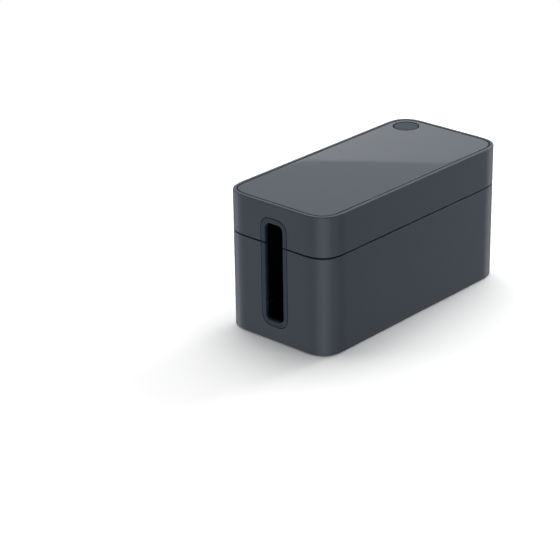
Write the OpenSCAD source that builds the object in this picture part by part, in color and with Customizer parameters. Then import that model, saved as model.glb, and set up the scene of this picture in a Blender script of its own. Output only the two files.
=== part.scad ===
// Cable management box: an open tub with a lift-off lid. A cable slot in each
// end is lined with a soft trim that is split at the seam, and a round plug
// closes a third outlet in the lid. Millimetres, +X along the box, +Z up,
// origin on the ground under the middle of the box.

/* [Box] */
// Length over the two slotted ends
box_length = 246; // [200:1:320]
// Width over the long sides
box_width = 116; // [96:1:160]
// Height from the soles of the feet to the rim of the lid
box_height = 128; // [112:1:180]
// Radius of the four upright corners
corner_radius = 20.5; // [18:0.5:26]
// Thickness of the side walls
wall = 2.5; // [2:0.1:3.2]
// Height of the lid's side wall
lid_height = 36.6; // [32:0.1:48]
// Shadow gap between the tub and the lid
seam_gap = 1.2; // [0.6:0.1:2]
// Rounding of the two edges that face each other across the seam
seam_edge_radius = 0.4; // [0.2:0.1:0.8]

/* [Tub] */
// Thickness of the floor
floor_thickness = 2.5; // [2:0.1:4]
// Rounding of the outer edge under the box
bottom_edge_radius = 0.6; // [0.4:0.1:2]
// Fillet inside, between the floor and the walls
floor_fillet = 2; // [1:0.5:4]
// How far the locating tongue stands above the tub's wall
tongue_height = 5.8; // [3:0.1:10]
// Thickness of the locating tongue
tongue_thickness = 1.5; // [1:0.1:2]
// Gap between the tongue and the inside of the lid
tongue_clearance = 0.35; // [0.2:0.05:0.6]
// Depth of the thick band that carries the tongue, below the tub's wall top
tongue_root = 5; // [3:0.5:10]
// Lead-in chamfer of the tongue and of the lid's wall
lead_in = 0.5; // [0.2:0.1:0.8]

/* [Socket strip bay] */
// Clear width between the two rails that hold a socket strip
rail_spacing = 58; // [44:1:66]
// Height of the rails above the floor
rail_height = 6; // [3:0.5:12]
// Thickness of the rails
rail_thickness = 2; // [1.5:0.1:3]
// Share of the box's length that the rails take
rail_share = 0.62; // [0.4:0.01:0.66]
// Height of the low ribs that a strip stands on
floor_rib_height = 1.5; // [1:0.1:2]
// Thickness of the low ribs
floor_rib_thickness = 1.6; // [1:0.1:2]
// Number of low ribs between the rails
floor_rib_count = 7; // [3:1:11]
// Width of a cable tie anchor, across the box
anchor_width = 16; // [12:1:20]
// Length of a cable tie anchor, along the box
anchor_length = 7; // [5:0.5:10]
// Height of a cable tie anchor
anchor_height = 5.5; // [5:0.5:8]
// Width of the tunnel that a cable tie goes through
anchor_tunnel_width = 8; // [5:0.5:10]
// Height of that tunnel
anchor_tunnel_height = 2.6; // [2:0.1:3]
// Distance from the box's end to the middle of an anchor
anchor_setback = 26; // [22:0.5:28]

/* [Cable slots] */
// Clear width of a slot
slot_width = 20; // [12:0.5:26]
// Height of a slot's sill above the ground
slot_sill = 19.5; // [16:0.5:30]
// Distance from the top of a slot up to the rim of the lid
slot_head = 18; // [16:0.5:26]
// Radius of a slot's clear corners
slot_corner_radius = 5.5; // [3:0.5:6]
// Width of the trim's flush band round the slot
trim_band = 5; // [3:0.5:6]
// Fine joint between the band and the wall
trim_joint = 0.5; // [0.2:0.05:0.7]
// How far the trim's flange laps behind the wall
trim_lap = 3; // [2:0.5:4]
// Thickness of that flange
trim_flange = 1.5; // [1:0.1:2]
// Rounding of the trim's edges beside the cables
trim_edge_radius = 0.8; // [0.3:0.1:1]
// Space left round the flange by the tongue
trim_pocket_clearance = 0.5; // [0.3:0.1:1]

/* [Lid] */
// Width of the rim round the top plate
rim_width = 3.2; // [2.6:0.1:5]
// Rounding of the lid's outer top edge
rim_edge_radius = 0.8; // [0.5:0.1:1.4]
// Rounding of the rim's inner edge
rim_inner_radius = 0.3; // [0.1:0.1:0.6]
// Gap round the top plate
plate_gap = 1.2; // [0.4:0.1:1.6]
// Thickness of the top plate
plate_thickness = 2; // [1.5:0.1:3]
// How far the plate's surface lies below the rim
plate_recess = 0.1; // [0:0.1:1]
// Rounding of the plate's top edge
plate_edge_radius = 0.4; // [0.2:0.1:0.6]
// Thickness of the web that carries the plate
web_thickness = 2; // [1.5:0.1:3]
// Fillet between the web and the lid's walls
web_fillet = 1.5; // [1:0.1:3]
// Depth of the ribs under the web
web_rib_depth = 3; // [2:0.1:4]
// Thickness of the ribs under the web
web_rib_thickness = 1.6; // [1:0.1:2]
// How far a stop rib reaches in past the tongue
stop_rib_overhang = 0.65; // [0.2:0.05:1.5]
// Thickness of a stop rib
stop_rib_thickness = 2; // [1.5:0.1:3]

/* [Top plate pegs] */
// Diameter of the plate's staked pegs
peg_diameter = 3; // [2:0.1:4]
// Clearance between a peg and its hole, all round
peg_clearance = 0.1; // [0.05:0.05:0.2]
// Diameter of a peg's staked head
stake_diameter = 5; // [4.6:0.1:6]
// Height of a peg's staked head
stake_height = 1.1; // [0.6:0.1:1.6]

/* [Lid outlet] */
// Diameter of the plug's visible disc
disc_diameter = 22.4; // [21.4:0.1:24]
// Gap round the disc
disc_gap = 1.1; // [0.4:0.1:1.4]
// How far the disc lies below the plate's surface
disc_recess = 0.1; // [0:0.1:0.5]
// Rounding of the disc's top edge
disc_edge_radius = 0.5; // [0.2:0.1:0.8]
// Diameter of the outlet through the web
outlet_diameter = 20.4; // [16:0.1:21.4]
// Clearance between the plug's skirt and the outlet, all round
skirt_clearance = 0.2; // [0.1:0.05:0.4]
// Thickness of the plug's skirt
skirt_thickness = 1.6; // [1:0.1:2]
// Length of the plug's skirt below its disc
skirt_length = 6.4; // [4:0.1:8]
// Thickness of the collar round the outlet, under the web
collar_thickness = 2; // [1.5:0.1:3]
// Length of that collar
collar_length = 3; // [2:0.1:4]

/* [Feet] */
// Diameter of a foot
foot_diameter = 14; // [10:0.5:16]
// How far a foot stands below the floor
foot_drop = 0.5; // [0.3:0.1:2]
// Depth of a foot's seat in the floor
foot_seat_depth = 1; // [0.5:0.1:1.4]
// Clearance between a foot and its seat, all round
foot_clearance = 0.2; // [0.1:0.05:0.4]
// Rounding of a foot's sole
foot_edge_radius = 0.4; // [0.2:0.1:0.8]
// Diameter of the stem that holds a foot
stem_diameter = 4; // [3:0.1:5]
// Clearance between the stem and its hole, all round
stem_clearance = 0.1; // [0.05:0.05:0.2]
// Diameter of the stem's head inside the tub
stem_head_diameter = 6.4; // [5.6:0.1:7]
// Height of that head
stem_head_height = 1.8; // [1:0.1:3]

/* [Hidden] */
$fn = 96;

// How far a cut runs past the material
overrun = 1;
// Places along the box's half length and half width
stop_rib_length_shares = [-0.64, -0.22, 0.22, 0.64];
stop_rib_width_shares = [-0.5, 0.5];
web_rib_length_shares = [-0.5, 0, 0.5];
web_rib_width_shares = [-0.32, 0.32];
peg_length_shares = [-0.62, -0.2, 0.2, 0.62];
peg_width_share = 0.72;
end_peg_share = 0.9;

// Heights
floor_bottom = foot_drop;
floor_top = floor_bottom + floor_thickness;
tub_top = box_height - lid_height - seam_gap;
lid_bottom = tub_top + seam_gap;
tongue_top = tub_top + tongue_height;
plate_top = box_height - plate_recess;
web_top = plate_top - plate_thickness;
web_bottom = web_top - web_thickness;
slot_height = box_height - slot_head - slot_sill;
slot_centre = slot_sill + slot_height / 2;

// Distances in from the outer face
tongue_outside = wall + tongue_clearance;
tongue_inside = tongue_outside + tongue_thickness;
plate_inset = rim_width + plate_gap;

// Outline of the trim's band, which is also the cut in the end walls
trim_width = slot_width + 2 * trim_band;
trim_height = slot_height + 2 * trim_band;
trim_corner_radius = slot_corner_radius + trim_band;
trim_depth = wall + trim_flange;

// The outlet and the feet share the centres of the upright corners
corner_x = box_length / 2 - corner_radius;
corner_y = box_width / 2 - corner_radius;

// Shapes that repeat

// Rounded rectangle, drawn flat about its centre
module rounded_rectangle(length, width, radius) {
    square([length - 2 * radius, width], center = true);
    square([length, width - 2 * radius], center = true);
    for (side_x = [-1, 1], side_y = [-1, 1])
        translate([side_x * (length / 2 - radius), side_y * (width / 2 - radius)])
            circle(radius);
}

// Plate with the outline of a rounded rectangle, standing on z
module plate(length, width, radius, z, thickness) {
    translate([0, 0, z])
        linear_extrude(thickness)
            rounded_rectangle(length, width, radius);
}

// Carries a flat section round a rounded rectangle: the section's x runs
// inwards from the rectangle and its y runs up
module carried_round(length, width, radius) {
    for (turn = [0 : 3]) {
        run = turn % 2 == 0 ? length : width;
        reach = turn % 2 == 0 ? width : length;
        rotate([0, 0, turn * 90]) {
            translate([0, -reach / 2, 0])
                rotate([90, 0, 90])
                    linear_extrude(run - 2 * radius, center = true)
                        children();
            translate([radius - run / 2, radius - reach / 2, 0])
                rotate([0, 0, 180])
                    rotate_extrude(angle = 90)
                        translate([radius, 0])
                            mirror([1, 0])
                                children();
        }
    }
}

// What a rounding takes off a section's corner at [x, y]; toward_x and
// toward_y point from the corner into the material
module rounding_cut(x, y, toward_x, toward_y, radius) {
    translate([x, y])
        mirror([toward_x < 0 ? 1 : 0, 0])
            mirror([0, toward_y < 0 ? 1 : 0])
                difference() {
                    translate([-overrun, -overrun])
                        square(radius + overrun);
                    translate([radius, radius])
                        circle(radius);
                }
}

// What a fillet adds to a section's inner corner at [x, y]; toward_x and
// toward_y point from the corner into the open
module fillet_fill(x, y, toward_x, toward_y, radius) {
    translate([x, y])
        mirror([toward_x < 0 ? 1 : 0, 0])
            mirror([0, toward_y < 0 ? 1 : 0])
                difference() {
                    square(radius);
                    translate([radius, radius])
                        circle(radius);
                }
}

// Puts a shape that faces down the -X end on both ends of the box
module on_both_ends() {
    for (turn = [0, 180])
        rotate([0, 0, turn])
            children();
}

// Puts a flat outline, drawn with x up and y across, against the -X end
module on_left_end(depth) {
    translate([-box_length / 2 + depth, 0, slot_centre])
        rotate([0, -90, 180])
            children();
}

// Opening in an end wall that takes the trim's band
module trim_opening() {
    on_left_end(-overrun)
        linear_extrude(wall + 2 * overrun)
            rounded_rectangle(trim_height, trim_width, trim_corner_radius);
}

// Section of the trim: a flush band, and a flange that laps behind the wall
module trim_section() {
    difference() {
        polygon([
            [trim_joint, 0],
            [trim_band, 0],
            [trim_band, trim_depth],
            [-trim_lap, trim_depth],
            [-trim_lap, wall],
            [trim_joint, wall],
        ]);
        rounding_cut(trim_band, 0, -1, 1, trim_edge_radius);
        rounding_cut(trim_band, trim_depth, -1, -1, trim_edge_radius);
    }
}

// The whole trim of the -X end, before it is split at the seam
module whole_trim() {
    on_left_end(0)
        carried_round(trim_height, trim_width, trim_corner_radius)
            trim_section();
}

// Keeps what lies between two heights
module between_heights(low, high) {
    intersection() {
        children();
        translate([-box_length, -box_width, low])
            cube([2 * box_length, 2 * box_width, high - low]);
    }
}

// Sub-parts of the tub

// Section of the tub's wall, with its foot, its thick band and its tongue
module tub_wall_section() {
    difference() {
        polygon([
            [0, floor_bottom],
            [0, tub_top],
            [tongue_outside, tub_top],
            [tongue_outside, tongue_top - lead_in],
            [tongue_outside + lead_in, tongue_top],
            [tongue_inside, tongue_top],
            [tongue_inside, tub_top - tongue_root],
            [wall, tub_top - tongue_root - (tongue_inside - wall)],
            [wall, floor_top],
            [wall + floor_fillet, floor_top],
            [wall + floor_fillet, floor_bottom],
        ]);
        rounding_cut(0, floor_bottom, 1, 1, bottom_edge_radius);
        rounding_cut(0, tub_top, 1, -1, seam_edge_radius);
    }
    fillet_fill(wall, floor_top, 1, 1, floor_fillet);
}

// Space that the tongue and its thick band leave for a trim's flange
module flange_pocket() {
    pocket_width = trim_width + 2 * (trim_lap + trim_pocket_clearance);
    pocket_bottom = tub_top - tongue_root - tongue_inside;
    translate([-box_length / 2 + wall, -pocket_width / 2, pocket_bottom])
        cube([tongue_inside + overrun, pocket_width, tongue_top - pocket_bottom + overrun]);
    // Above the wall the tongue goes altogether
    translate([-box_length / 2 - overrun, -pocket_width / 2, tub_top])
        cube([wall + 2 * overrun, pocket_width, tongue_height + overrun]);
}

// Seat for a foot and the hole for its stem
module foot_seat() {
    cylinder(h = floor_bottom + foot_seat_depth, d = foot_diameter + 2 * foot_clearance);
    cylinder(h = floor_top + overrun, d = stem_diameter + 2 * stem_clearance);
}

// The four corners' centres
module at_each_corner() {
    for (side_x = [-1, 1], side_y = [-1, 1])
        translate([side_x * corner_x, side_y * corner_y, 0])
            children();
}

// Rails and low ribs that hold a socket strip
module strip_bay() {
    rail_length = box_length * rail_share;
    for (side = [-1, 1])
        translate([
            -rail_length / 2,
            side * (rail_spacing + rail_thickness) / 2 - rail_thickness / 2,
            floor_bottom + floor_thickness / 2,
        ])
            cube([rail_length, rail_thickness, rail_height + floor_thickness / 2]);
    for (rib = [0 : floor_rib_count - 1])
        translate([
            -rail_length / 2 + rib * (rail_length - floor_rib_thickness) / (floor_rib_count - 1),
            -(rail_spacing + rail_thickness) / 2,
            floor_bottom + floor_thickness / 2,
        ])
            cube([
                floor_rib_thickness,
                rail_spacing + rail_thickness,
                floor_rib_height + floor_thickness / 2,
            ]);
}

// Bridge on the floor that a cable tie goes under
module tie_anchor() {
    translate([-box_length / 2 + anchor_setback, 0, 0])
        difference() {
            translate([-anchor_length / 2, -anchor_width / 2, floor_bottom + floor_thickness / 2])
                cube([anchor_length, anchor_width, anchor_height + floor_thickness / 2]);
            translate([-anchor_length / 2 - overrun, -anchor_tunnel_width / 2, floor_top])
                cube([anchor_length + 2 * overrun, anchor_tunnel_width, anchor_tunnel_height]);
        }
}

module tub_shell() {
    color("#454a52")
        difference() {
            union() {
                carried_round(box_length, box_width, corner_radius)
                    tub_wall_section();
                plate(
                    box_length - 2 * wall,
                    box_width - 2 * wall,
                    corner_radius - wall,
                    floor_bottom,
                    floor_thickness
                );
                strip_bay();
                on_both_ends()
                    tie_anchor();
            }
            on_both_ends() {
                trim_opening();
                flange_pocket();
            }
            at_each_corner()
                foot_seat();
        }
}

module slot_trim_lower_left() {
    color("#363a42")
        between_heights(0, tub_top)
            whole_trim();
}

module slot_trim_lower_right() {
    rotate([0, 0, 180])
        slot_trim_lower_left();
}

// Foot with a stem and a head that snaps through the floor
module foot() {
    foot_thickness = foot_drop + foot_seat_depth;
    head_top = floor_top + stem_head_height;
    color("#26282c")
        rotate_extrude()
            difference() {
                polygon([
                    [0, 0],
                    [foot_diameter / 2, 0],
                    [foot_diameter / 2, foot_thickness],
                    [stem_diameter / 2, foot_thickness],
                    [stem_diameter / 2, floor_top],
                    [stem_head_diameter / 2, floor_top],
                    [stem_diameter / 2, head_top],
                    [0, head_top],
                ]);
                rounding_cut(foot_diameter / 2, 0, -1, 1, foot_edge_radius);
            }
}

module foot_front_left() {
    translate([-corner_x, -corner_y, 0])
        foot();
}

module foot_front_right() {
    translate([corner_x, -corner_y, 0])
        foot();
}

module foot_rear_left() {
    translate([-corner_x, corner_y, 0])
        foot();
}

module foot_rear_right() {
    translate([corner_x, corner_y, 0])
        foot();
}

// Sub-parts of the lid

// Section of the lid's wall, with the rim above and the web's edge inside
module lid_wall_section() {
    web_edge = rim_width + web_fillet;
    difference() {
        polygon([
            [0, lid_bottom],
            [0, box_height],
            [rim_width, box_height],
            [rim_width, web_top],
            [web_edge, web_top],
            [web_edge, web_bottom],
            [wall, web_bottom],
            [wall, lid_bottom + lead_in],
            [wall - lead_in, lid_bottom],
        ]);
        rounding_cut(0, box_height, 1, -1, rim_edge_radius);
        rounding_cut(rim_width, box_height, -1, -1, rim_inner_radius);
        rounding_cut(0, lid_bottom, 1, 1, seam_edge_radius);
    }
    fillet_fill(wall, web_bottom, 1, -1, web_fillet);
}

// Ribs inside the lid's walls that stand on the tub's tongue
module stop_ribs() {
    rib_height = web_top - tongue_top - web_thickness / 2;
    rib_depth = tongue_inside + stop_rib_overhang - wall / 2;
    for (share = stop_rib_length_shares, side = [-1, 1])
        translate([
            share * box_length / 2 - stop_rib_thickness / 2,
            side * (box_width / 2 - wall / 2 - rib_depth / 2) - rib_depth / 2,
            tongue_top,
        ])
            cube([stop_rib_thickness, rib_depth, rib_height]);
    for (share = stop_rib_width_shares, side = [-1, 1])
        translate([
            side * (box_length / 2 - wall / 2 - rib_depth / 2) - rib_depth / 2,
            share * box_width / 2 - stop_rib_thickness / 2,
            tongue_top,
        ])
            cube([rib_depth, stop_rib_thickness, rib_height]);
}

// Stiffening ribs under the web
module web_ribs() {
    inner_length = box_length - 2 * wall;
    inner_width = box_width - 2 * wall;
    rib_height = web_rib_depth + web_thickness / 2;
    for (share = web_rib_length_shares)
        translate([
            share * box_length / 2 - web_rib_thickness / 2,
            -inner_width / 2 - wall / 2,
            web_bottom - web_rib_depth,
        ])
            cube([web_rib_thickness, inner_width + wall, rib_height]);
    for (share = web_rib_width_shares)
        translate([
            -inner_length / 2 - wall / 2,
            share * box_width / 2 - web_rib_thickness / 2,
            web_bottom - web_rib_depth,
        ])
            cube([inner_length + wall, web_rib_thickness, rib_height]);
}

// Places of the top plate's pegs
module at_each_peg() {
    for (share = peg_length_shares, side = [-1, 1])
        translate([share * box_length / 2, side * peg_width_share * box_width / 2, 0])
            children();
    for (side = [-1, 1])
        translate([side * end_peg_share * box_length / 2, 0, 0])
            children();
}

module lid_shell() {
    collar_diameter = outlet_diameter + 2 * collar_thickness;
    color("#454a52")
        difference() {
            union() {
                carried_round(box_length, box_width, corner_radius)
                    lid_wall_section();
                plate(
                    box_length - 2 * wall,
                    box_width - 2 * wall,
                    corner_radius - wall,
                    web_bottom,
                    web_thickness
                );
                stop_ribs();
                web_ribs();
                translate([corner_x, corner_y, web_bottom - collar_length])
                    cylinder(h = collar_length + web_thickness / 2, d = collar_diameter);
            }
            on_both_ends()
                trim_opening();
            translate([corner_x, corner_y, web_bottom - collar_length - overrun])
                cylinder(h = collar_length + web_thickness + 2 * overrun, d = outlet_diameter);
            at_each_peg()
                translate([0, 0, web_bottom - overrun])
                    cylinder(h = web_thickness + 2 * overrun, d = peg_diameter + 2 * peg_clearance);
        }
}

// Edge section of the top plate
module plate_edge_section() {
    difference() {
        translate([0, web_top])
            square([plate_gap + rim_width, plate_thickness]);
        rounding_cut(0, plate_top, 1, -1, plate_edge_radius);
    }
}

module top_plate() {
    plate_length = box_length - 2 * plate_inset;
    plate_width = box_width - 2 * plate_inset;
    plate_radius = corner_radius - plate_inset;
    color("#6a7078")
        union() {
            difference() {
                union() {
                    carried_round(plate_length, plate_width, plate_radius)
                        plate_edge_section();
                    plate(
                        plate_length - 2 * rim_width,
                        plate_width - 2 * rim_width,
                        plate_radius - rim_width,
                        web_top,
                        plate_thickness
                    );
                }
                translate([corner_x, corner_y, web_top - overrun])
                    cylinder(h = plate_thickness + 2 * overrun, d = disc_diameter + 2 * disc_gap);
            }
            at_each_peg() {
                translate([0, 0, web_bottom])
                    cylinder(h = web_thickness + plate_thickness / 2, d = peg_diameter);
                translate([0, 0, web_bottom - stake_height])
                    cylinder(h = stake_height, d1 = peg_diameter, d2 = stake_diameter);
            }
        }
}

module slot_trim_upper_left() {
    color("#363a42")
        between_heights(lid_bottom, box_height)
            whole_trim();
}

module slot_trim_upper_right() {
    rotate([0, 0, 180])
        slot_trim_upper_left();
}

// Plug: a disc that lies on the web, and a hollow skirt in the outlet
module outlet_plug() {
    disc_top = plate_top - disc_recess;
    skirt_outside = outlet_diameter / 2 - skirt_clearance;
    skirt_bottom = web_top - skirt_length;
    color("#3b4048")
        translate([corner_x, corner_y, 0])
            rotate_extrude()
                difference() {
                    polygon([
                        [0, web_top],
                        [0, disc_top],
                        [disc_diameter / 2, disc_top],
                        [disc_diameter / 2, web_top],
                        [skirt_outside, web_top],
                        [skirt_outside, skirt_bottom + lead_in],
                        [skirt_outside - lead_in, skirt_bottom],
                        [skirt_outside - skirt_thickness, skirt_bottom],
                        [skirt_outside - skirt_thickness, web_top],
                    ]);
                    rounding_cut(disc_diameter / 2, disc_top, -1, -1, disc_edge_radius);
                }
}

tub_shell();
slot_trim_lower_left();
slot_trim_lower_right();
foot_front_left();
foot_front_right();
foot_rear_left();
foot_rear_right();
lid_shell();
top_plate();
slot_trim_upper_left();
slot_trim_upper_right();
outlet_plug();
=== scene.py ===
"""Cable management box: a tub, a lift-off lid, soft slot trims, a top plate, an outlet plug and feet.

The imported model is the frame. Each class takes its places and overall sizes from
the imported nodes, makes the piece with its roundings, ribs and mould marks, gives
it its finish and lets it ride on the body that carries it.
"""
import logging
import math
from collections.abc import Iterable, Iterator, Sequence
from contextlib import contextmanager
from dataclasses import dataclass
from enum import Enum
from typing import NamedTuple, Self

import bmesh
import bpy
from mathutils import Matrix, Vector


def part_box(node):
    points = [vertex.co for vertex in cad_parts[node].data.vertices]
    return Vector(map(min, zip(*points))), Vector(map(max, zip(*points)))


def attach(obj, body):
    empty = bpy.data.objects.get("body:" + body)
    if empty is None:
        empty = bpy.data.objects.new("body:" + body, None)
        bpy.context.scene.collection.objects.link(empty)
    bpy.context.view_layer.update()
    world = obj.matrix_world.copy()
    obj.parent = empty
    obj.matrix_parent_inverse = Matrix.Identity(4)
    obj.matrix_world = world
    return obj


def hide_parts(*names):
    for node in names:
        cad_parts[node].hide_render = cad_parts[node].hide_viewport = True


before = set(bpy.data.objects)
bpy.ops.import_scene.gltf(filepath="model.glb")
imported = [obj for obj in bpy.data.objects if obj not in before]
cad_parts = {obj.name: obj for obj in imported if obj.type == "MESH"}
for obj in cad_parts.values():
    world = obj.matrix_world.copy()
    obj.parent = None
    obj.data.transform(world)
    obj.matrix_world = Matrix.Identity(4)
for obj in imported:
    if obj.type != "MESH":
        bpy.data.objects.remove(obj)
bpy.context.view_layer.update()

LOG = logging.getLogger("cable_box")

Shape = bpy.types.Object
Socket = bpy.types.NodeSocket
Colour = tuple[float, float, float]
Span = tuple[float, float]

# Name of the attribute that marks the roundings that hands rub.
EDGE = "edge"
MERGE_DISTANCE = 1e-6
SMOOTH_ANGLE = math.radians(32)
ARC_STEP = math.radians(15)
# Steps of the arcs on cutters that round an edge, and of a block's edges.
EDGE_STEPS = 6
BLOCK_STEPS = 3
# Bevel profile that makes an edge round.
ROUND_PROFILE = 0.5
# How far a cutter runs past what it cuts, and a step that keeps two faces from being flush.
OVERRUN = 0.001
HAIR = 0.00002
# How far inside a course a swept solid is closed by a flat face.
FLAT_INSET = 0.008
SIDES = (-1, 1)
ORIGIN = Vector((0.0, 0.0, 0.0))
UP = Vector((0.0, 0.0, 1.0))
# Height at which the camera and the lamps aim.
AIM_HEIGHT = 0.058
WHITE = (1.0, 1.0, 1.0, 1.0)
# Middle part of a noise pattern, which is spread over the whole range.
NOISE_MIDDLE = (0.3, 0.7)
# Grain of the breaks in a rubbed edge, and the least share that it keeps there.
RUB_GRAIN = 0.004
RUB_LEAST_SHARE = 0.4


class Join(Enum):
    """How a second solid is combined with the first."""

    ADD = "UNION"
    TAKE_AWAY = "DIFFERENCE"


class End(Enum):
    """Slotted end of the box."""

    LEFT = "left"
    RIGHT = "right"

    @property
    def turn(self) -> Matrix:
        """Turn about the box's upright axis that takes the left end's pieces here."""
        return Matrix.Rotation(0.0 if self is End.LEFT else math.pi, 4, "Z")


class Half(Enum):
    """Half of a slot trim, on either side of the seam."""

    LOWER = "lower"
    UPPER = "upper"

    @property
    def body(self) -> str:
        """Body that carries this half."""
        return "tub" if self is Half.LOWER else "lid"


class Place(Enum):
    """Corner of the floor that a foot stands under."""

    FRONT_LEFT = "front_left"
    FRONT_RIGHT = "front_right"
    REAR_LEFT = "rear_left"
    REAR_RIGHT = "rear_right"

    @property
    def node(self) -> str:
        """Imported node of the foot."""
        return f"foot_{self.value}"


def centre_of(node: str) -> Vector:
    """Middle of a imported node, brought down to the ground."""
    low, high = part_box(node)
    return Vector(((low.x + high.x) / 2, (low.y + high.y) / 2, 0.0))


def radius_of(node: str) -> float:
    """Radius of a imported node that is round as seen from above."""
    low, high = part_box(node)
    return (high.x - low.x) / 2


def crossed(swap: bool, x: float, y: float, z: float) -> Vector:
    """Makes a point or a size, with its X and Y swapped where asked."""
    return Vector((y, x, z) if swap else (x, y, z))


def arc(middle: Sequence[float], radius: float, start: float, turn: float, steps: int) -> list[Span]:
    """Draws the points of an arc about a middle, from its start angle on through its turn."""
    angles = [start + turn * step / steps for step in range(steps + 1)]
    return [(middle[0] + radius * math.cos(angle), middle[1] + radius * math.sin(angle)) for angle in angles]


def linked(name: str, data: bpy.types.ID) -> Shape:
    """Makes an object of a mesh, lamp or camera and puts it in the scene.

    Args:
        name: Name of the object.
        data: What it shows.

    Returns:
        The new object, at the origin.
    """
    made = bpy.data.objects.new(name, data)
    bpy.context.scene.collection.objects.link(made)
    return made


def laid(
    name: str,
    points: Iterable[Sequence[float]] = (),
    edges: Sequence[tuple[int, int]] = (),
    faces: Sequence[Sequence[int]] = (),
) -> Shape:
    """Makes an object of points, with or without edges and faces.

    Args:
        name: Name of the object.
        points: Its points.
        edges: Pairs of points that are joined.
        faces: Loops of points that bound a face.

    Returns:
        The new object.
    """
    mesh = bpy.data.meshes.new(name)
    mesh.from_pydata([tuple(point) for point in points], edges, faces)
    return linked(name, mesh)


def traced(name: str, points: Sequence[Sequence[float]], closed: bool) -> Shape:
    """Draws a line of edges through points.

    Args:
        name: Name of the object.
        points: Its points, in order.
        closed: Whether the last point leads back to the first.

    Returns:
        The new object.
    """
    edges = [(index, index + 1) for index in range(len(points) - 1)]
    if closed:
        edges.append((len(points) - 1, 0))
    return laid(name, points, edges)


@contextmanager
def reworked(shape: Shape) -> Iterator[bmesh.types.BMesh]:
    """Opens an object's mesh for rework and writes it back.

    Args:
        shape: Object whose mesh is reworked.

    Yields:
        The working copy of its mesh.
    """
    work = bmesh.new()
    work.from_mesh(shape.data)
    yield work
    work.to_mesh(shape.data)
    work.free()


def made_plain(shape: Shape) -> Shape:
    """Turns what an object's modifiers make into its own plain mesh.

    Args:
        shape: Object with live modifiers.

    Returns:
        The same object, with no modifier left.
    """
    graph = bpy.context.evaluated_depsgraph_get()
    result = bpy.data.meshes.new_from_object(
        shape.evaluated_get(graph), preserve_all_data_layers=True, depsgraph=graph
    )
    shape.modifiers.clear()
    shape.data = result
    return shape


def cleaned(shape: Shape) -> Shape:
    """Merges doubled points, drops slivers and turns all faces outwards.

    Args:
        shape: Object with a closed mesh.

    Returns:
        The same object.
    """
    with reworked(shape) as work:
        bmesh.ops.remove_doubles(work, verts=work.verts, dist=MERGE_DISTANCE)
        bmesh.ops.dissolve_degenerate(work, edges=work.edges, dist=MERGE_DISTANCE)
        bmesh.ops.recalc_face_normals(work, faces=work.faces)
    return shape


def moved(shape: Shape, matrix: Matrix) -> Shape:
    """Moves an object's mesh and leaves the object itself at the origin."""
    shape.data.transform(matrix)
    return shape


def at_both_ends(shape: Shape) -> Shape:
    """Adds the twin of a left end's solid at the right end.

    Args:
        shape: Solid at the left end.

    Returns:
        The same object, with both solids.
    """
    twin = shape.data.copy()
    twin.transform(End.RIGHT.turn)
    with reworked(shape) as work:
        work.from_mesh(twin)
    return shape


def combined(first: Shape, second: Shape, how: Join) -> Shape:
    """Adds a solid to another or takes it away, and uses it up.

    Args:
        first: Solid that stays.
        second: Solid that is added or taken away.
        how: Which of the two.

    Returns:
        The first object, with its new mesh.
    """
    modifier = first.modifiers.new(how.name.lower(), "BOOLEAN")
    modifier.operation = how.value
    modifier.solver = "EXACT"
    modifier.object = second
    made_plain(first)
    bpy.data.objects.remove(second)
    return cleaned(first)


def shaded(shape: Shape) -> Shape:
    """Shades a piece smooth over its roundings and keeps its flat faces flat.

    Args:
        shape: Finished piece.

    Returns:
        The same object, with its normals weighted by face area.
    """
    shape.data.shade_smooth()
    shape.data.set_sharp_from_angle(angle=SMOOTH_ANGLE)
    modifier = shape.modifiers.new("weighted normals", "WEIGHTED_NORMAL")
    modifier.keep_sharp = True
    return made_plain(shape)


class Corner(NamedTuple):
    """Corner of a flat outline.

    On a swept outline x runs inwards from the path and y runs up. On a turned one
    x is the distance from the axis. An exposed rounding is one that hands rub.
    """

    x: float
    y: float
    radius: float = 0.0
    exposed: bool = False


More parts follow.
